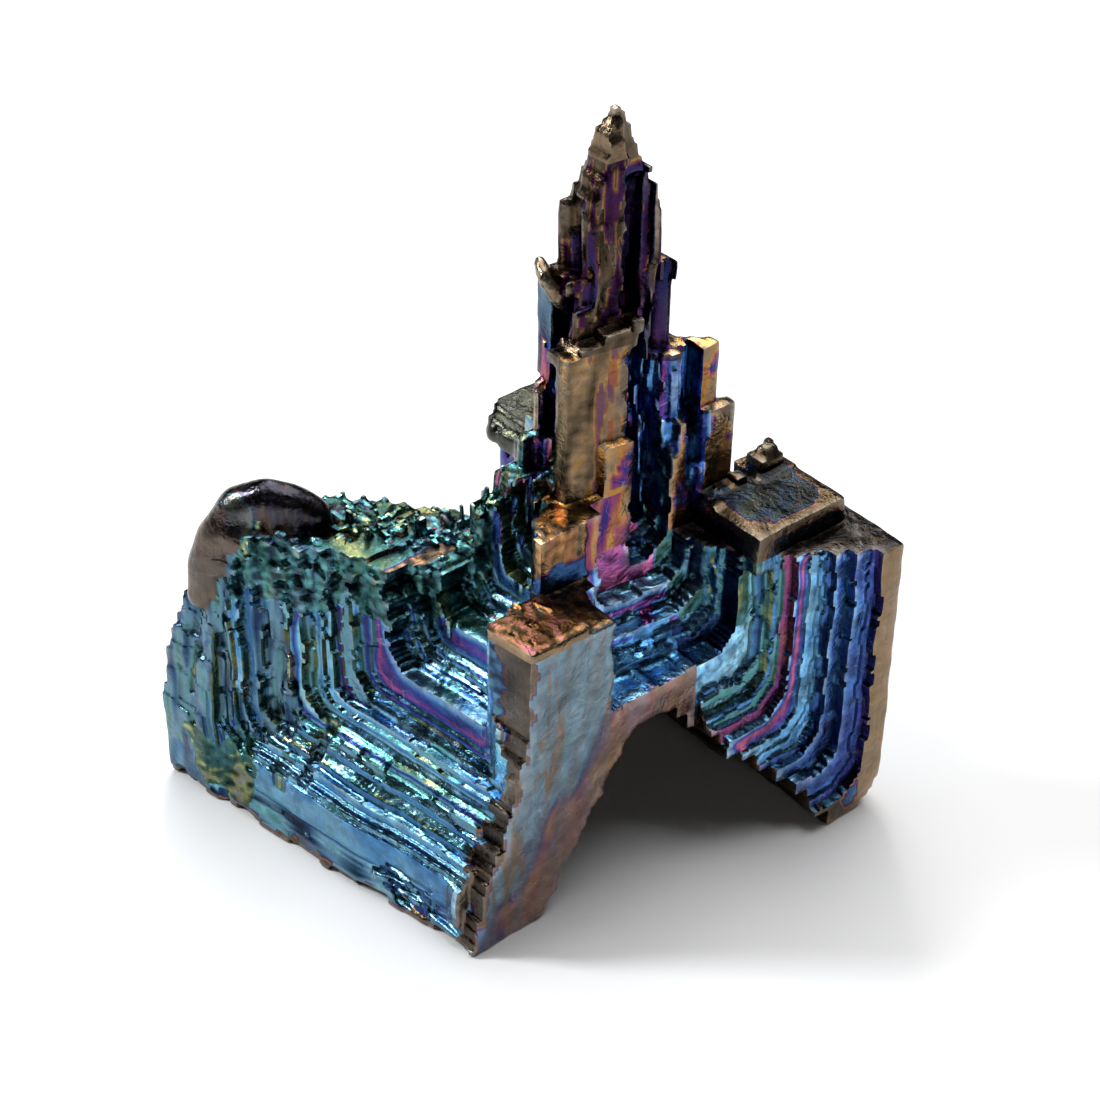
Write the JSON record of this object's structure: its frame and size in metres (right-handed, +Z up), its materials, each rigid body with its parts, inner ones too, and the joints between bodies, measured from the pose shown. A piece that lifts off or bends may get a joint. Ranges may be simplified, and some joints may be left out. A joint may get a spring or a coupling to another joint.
{
  "type": "bismuth hopper crystal",
  "caption": "Iridescent stepped metal crystal with arms at the corners, hollow terraced sides and a tall stepped spire, for display or study.",
  "frame": {"origin": "middle of the bounding box in plan, on the surface that the crystal stands on", "axes": "+Z up along the spire, +X along the terraces of the right side away from the front ridge, +Y along the terraces of the left side away from the front ridge"},
  "size_m": [0.0326, 0.0296, 0.0465],
  "materials": {
    "oxidised_bismuth": "bright metal under a thin oxide film that runs from steel blue through teal, indigo, magenta and copper"
  },
  "bodies": {
    "root": {"bismuth_crystal": "oxidised_bismuth"}
  },
  "joints": []
}
